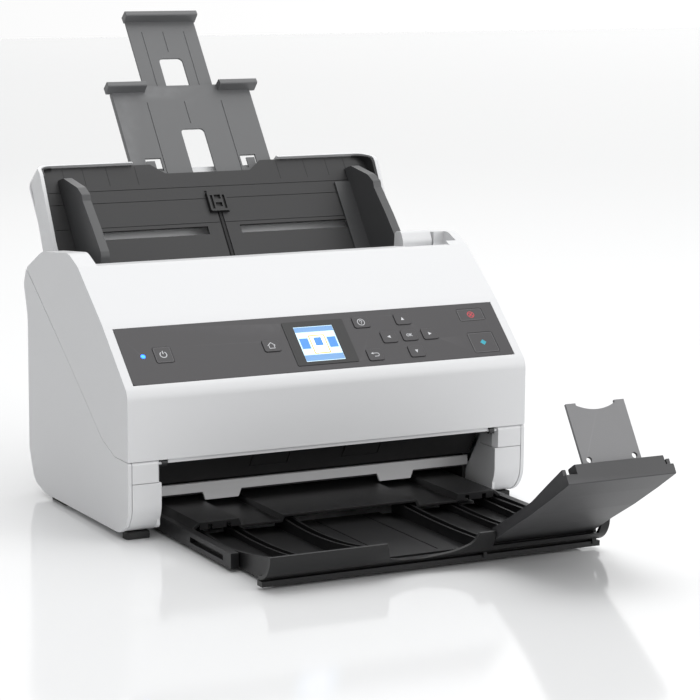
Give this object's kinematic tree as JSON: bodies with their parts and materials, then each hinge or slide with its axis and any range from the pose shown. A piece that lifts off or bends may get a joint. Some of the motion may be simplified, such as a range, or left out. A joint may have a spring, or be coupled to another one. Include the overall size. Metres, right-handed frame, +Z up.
{
  "type": "sheet-fed document scanner",
  "caption": "Desktop sheet-fed document scanner with a hinged front cover, sloping control panel, sliding paper supports and a drawn-out output tray with folding stopper.",
  "frame": {"origin": "centre of the bounding box footprint, on the table", "axes": "+X to the right of a person facing the front, +Y to the back, +Z up"},
  "size_m": [0.2956, 0.527, 0.3274],
  "materials": {
    "white_shell": "fine matte",
    "dark_plastic": "matte",
    "tray_plastic": "fine matte",
    "grey_plastic": "fine matte",
    "pale_grey": "matte",
    "panel_plastic": "fine matte",
    "key_plastic": "satin",
    "screen_glass": "gloss",
    "light_pipe": "clear",
    "rubber": "matte",
    "steel": "brushed",
    "gear_plastic": "satin",
    "glass": "gloss",
    "circuit_board": "satin",
    "black_plastic": "matte"
  },
  "bodies": {
    "base": {"base_chassis": "dark_plastic", "side_covers": "white_shell", "rear_cover": "white_shell", "corner_blocks": "white_shell", "hinge_covers": "white_shell", "side_frames": "steel", "lower_paper_guide": "black_plastic", "exit_guide_bar": "pale_grey", "rubber_feet": "rubber", "main_board": "circuit_board", "rear_sockets": "steel", "lower_scan_module": "black_plastic", "lower_scan_glass": "glass", "feed_motor": "steel", "input_tray": "tray_plastic", "tray_back_shell": "white_shell", "centre_clip": "black_plastic"},
    "cover": {"front_cover": "white_shell", "upper_paper_guide": "black_plastic", "upper_scan_module": "black_plastic", "upper_scan_glass": "glass", "control_panel": "panel_plastic", "lcd_bezel": "black_plastic", "lcd_screen": "screen_glass", "status_light": "light_pipe", "panel_board": "circuit_board"},
    "feed_roller": {"feed_shaft": "steel", "feed_tyres": "rubber", "feed_gear": "gear_plastic"},
    "exit_roller": {"exit_shaft": "steel", "exit_tyres": "rubber", "exit_gear": "gear_plastic"},
    "pickup_unit": {"pickup_roller": "black_plastic"},
    "exit_idler": {"exit_idler_gear": "gear_plastic"},
    "pickup_idler": {"pickup_idler_gear": "gear_plastic"},
    "motor_rotor": {"motor_pinion": "steel"},
    "feed_pinch": {"feed_pinch_roller": "pale_grey"},
    "exit_pinch": {"exit_pinch_roller": "pale_grey"},
    "separation_unit": {"separation_roller": "rubber"},
    "lever": {"release_lever": "white_shell"},
    "right_guide": {"right_edge_guide": "tray_plastic"},
    "left_guide": {"left_edge_guide": "tray_plastic"},
    "guide_gear": {"guide_pinion": "gear_plastic"},
    "support_one": {"lower_support": "grey_plastic"},
    "support_two": {"upper_support": "grey_plastic"},
    "stacker": {"output_tray": "dark_plastic"},
    "stacker_extension": {"output_extension": "dark_plastic"},
    "flap": {"stopper_flap": "grey_plastic"},
    "stopper": {"stopper_plate": "grey_plastic"},
    "power_button_body": {"power_button": "key_plastic"},
    "home_button_body": {"home_button": "key_plastic"},
    "help_button_body": {"help_button": "key_plastic"},
    "back_button_body": {"back_button": "key_plastic"},
    "up_button_body": {"up_button": "key_plastic"},
    "left_button_body": {"left_button": "key_plastic"},
    "ok_button_body": {"ok_button": "key_plastic"},
    "right_button_body": {"right_button": "key_plastic"},
    "down_button_body": {"down_button": "key_plastic"},
    "stop_button_body": {"stop_button": "key_plastic"},
    "start_button_body": {"start_button": "key_plastic"}
  },
  "joints": [
    {"name": "cover_hinge", "type": "hinge", "parent": "base", "child": "cover", "pos_m": [0, -0.0282, 0.051], "axis": [1, 0, 0], "range_deg": [0, 60]},
    {"name": "release_lever_hinge", "type": "hinge", "parent": "cover", "child": "lever", "pos_m": [0, 0.0826, 0.147], "axis": [1, 0, 0], "range_deg": [0, 12], "stiffness_Nm_per_rad": 0.15, "springref_deg": -11.46},
    {"name": "power_button_press", "type": "slide", "parent": "cover", "child": "power_button_body", "axis": [0, 0.6756, -0.7373], "range_m": [0, 0.0006], "stiffness_N_per_m": 1200, "springref_m": -0.0005},
    {"name": "home_button_press", "type": "slide", "parent": "cover", "child": "home_button_body", "axis": [0, 0.6756, -0.7373], "range_m": [0, 0.0006], "stiffness_N_per_m": 1200, "springref_m": -0.0005},
    {"name": "help_button_press", "type": "slide", "parent": "cover", "child": "help_button_body", "axis": [0, 0.6756, -0.7373], "range_m": [0, 0.0006], "stiffness_N_per_m": 1200, "springref_m": -0.0005},
    {"name": "back_button_press", "type": "slide", "parent": "cover", "child": "back_button_body", "axis": [0, 0.6756, -0.7373], "range_m": [0, 0.0006], "stiffness_N_per_m": 1200, "springref_m": -0.0005},
    {"name": "up_button_press", "type": "slide", "parent": "cover", "child": "up_button_body", "axis": [0, 0.6756, -0.7373], "range_m": [0, 0.0006], "stiffness_N_per_m": 1200, "springref_m": -0.0005},
    {"name": "left_button_press", "type": "slide", "parent": "cover", "child": "left_button_body", "axis": [0, 0.6756, -0.7373], "range_m": [0, 0.0006], "stiffness_N_per_m": 1200, "springref_m": -0.0005},
    {"name": "ok_button_press", "type": "slide", "parent": "cover", "child": "ok_button_body", "axis": [0, 0.6756, -0.7373], "range_m": [0, 0.0006], "stiffness_N_per_m": 1200, "springref_m": -0.0005},
    {"name": "right_button_press", "type": "slide", "parent": "cover", "child": "right_button_body", "axis": [0, 0.6756, -0.7373], "range_m": [0, 0.0006], "stiffness_N_per_m": 1200, "springref_m": -0.0005},
    {"name": "down_button_press", "type": "slide", "parent": "cover", "child": "down_button_body", "axis": [0, 0.6756, -0.7373], "range_m": [0, 0.0006], "stiffness_N_per_m": 1200, "springref_m": -0.0005},
    {"name": "stop_button_press", "type": "slide", "parent": "cover", "child": "stop_button_body", "axis": [0, 0.6756, -0.7373], "range_m": [0, 0.0005], "stiffness_N_per_m": 1200, "springref_m": -0.0005},
    {"name": "start_button_press", "type": "slide", "parent": "cover", "child": "start_button_body", "axis": [0, 0.6756, -0.7373], "range_m": [0, 0.0005], "stiffness_N_per_m": 1200, "springref_m": -0.0005},
    {"name": "left_guide_slide", "type": "slide", "parent": "base", "child": "left_guide", "axis": [1, 0, 0], "range_m": [0, 0.084]},
    {"name": "right_guide_slide", "type": "slide", "parent": "base", "child": "right_guide", "axis": [1, 0, 0], "range_m": [-0.084, 0]},
    {"name": "guide_pinion_spin", "type": "hinge", "parent": "base", "child": "guide_gear", "pos_m": [0, 0.14395, 0.17562], "axis": [0, -0.7965, 0.6046], "range_deg": [-754, 0]},
    {"name": "lower_support_slide", "type": "slide", "parent": "base", "child": "support_one", "axis": [0, 0.6046, 0.7965], "range_m": [-0.06, 0]},
    {"name": "upper_support_slide", "type": "slide", "parent": "support_one", "child": "support_two", "axis": [0, 0.6046, 0.7965], "range_m": [-0.056, 0]},
    {"name": "output_tray_slide", "type": "slide", "parent": "base", "child": "stacker", "axis": [0, -1, 0], "range_m": [-0.093, 0]},
    {"name": "output_extension_slide", "type": "slide", "parent": "stacker", "child": "stacker_extension", "axis": [0, -1, 0], "range_m": [-0.038, 0]},
    {"name": "flap_hinge", "type": "hinge", "parent": "stacker_extension", "child": "flap", "pos_m": [0, -0.1684, 0.012], "axis": [-1, 0, 0], "range_deg": [0, 115]},
    {"name": "stopper_hinge", "type": "hinge", "parent": "flap", "child": "stopper", "pos_m": [0, -0.25447, 0.07409], "axis": [-1, 0, 0], "range_deg": [0, 88]},
    {"name": "feed_spin", "type": "hinge", "parent": "base", "child": "feed_roller", "pos_m": [0, 0.08907, 0.09298], "axis": [1, 0, 0], "continuous": true},
    {"name": "exit_spin", "type": "hinge", "parent": "base", "child": "exit_roller", "pos_m": [0, 0.05763, 0.05156], "axis": [1, 0, 0], "continuous": true},
    {"name": "pickup_spin", "type": "hinge", "parent": "base", "child": "pickup_unit", "pos_m": [0, 0.11326, 0.12484], "axis": [1, 0, 0], "continuous": true},
    {"name": "exit_idler_spin", "type": "hinge", "parent": "base", "child": "exit_idler", "pos_m": [0, 0.07335, 0.07227], "axis": [1, 0, 0], "continuous": true},
    {"name": "pickup_idler_spin", "type": "hinge", "parent": "base", "child": "pickup_idler", "pos_m": [0, 0.10358, 0.1121], "axis": [1, 0, 0], "continuous": true},
    {"name": "motor_spin", "type": "hinge", "parent": "base", "child": "motor_rotor", "pos_m": [0, 0.10873, 0.07922], "axis": [1, 0, 0], "continuous": true},
    {"name": "feed_pinch_spin", "type": "hinge", "parent": "cover", "child": "feed_pinch", "pos_m": [0, 0.07768, 0.10163], "axis": [1, 0, 0], "continuous": true},
    {"name": "exit_pinch_spin", "type": "hinge", "parent": "cover", "child": "exit_pinch", "pos_m": [0, 0.04624, 0.06021], "axis": [1, 0, 0], "continuous": true},
    {"name": "separation_spin", "type": "hinge", "parent": "cover", "child": "separation_unit", "pos_m": [0, 0.0942, 0.12173], "axis": [1, 0, 0], "continuous": true}
  ],
  "couplings": [
    {"joint": "right_guide_slide", "follows": "left_guide_slide", "ratio": -1},
    {"joint": "guide_pinion_spin", "follows": "left_guide_slide", "rad_per_m": -156.25},
    {"joint": "exit_idler_spin", "follows": "feed_spin", "ratio": -1.6},
    {"joint": "exit_spin", "follows": "feed_spin", "ratio": 1},
    {"joint": "pickup_idler_spin", "follows": "feed_spin", "ratio": -2},
    {"joint": "pickup_spin", "follows": "feed_spin", "ratio": 2},
    {"joint": "motor_spin", "follows": "feed_spin", "ratio": -2},
    {"joint": "feed_pinch_spin", "follows": "feed_spin", "ratio": -1.3333},
    {"joint": "exit_pinch_spin", "follows": "feed_spin", "ratio": -1.3333},
    {"joint": "separation_spin", "follows": "feed_spin", "ratio": -1.6}
  ]
}
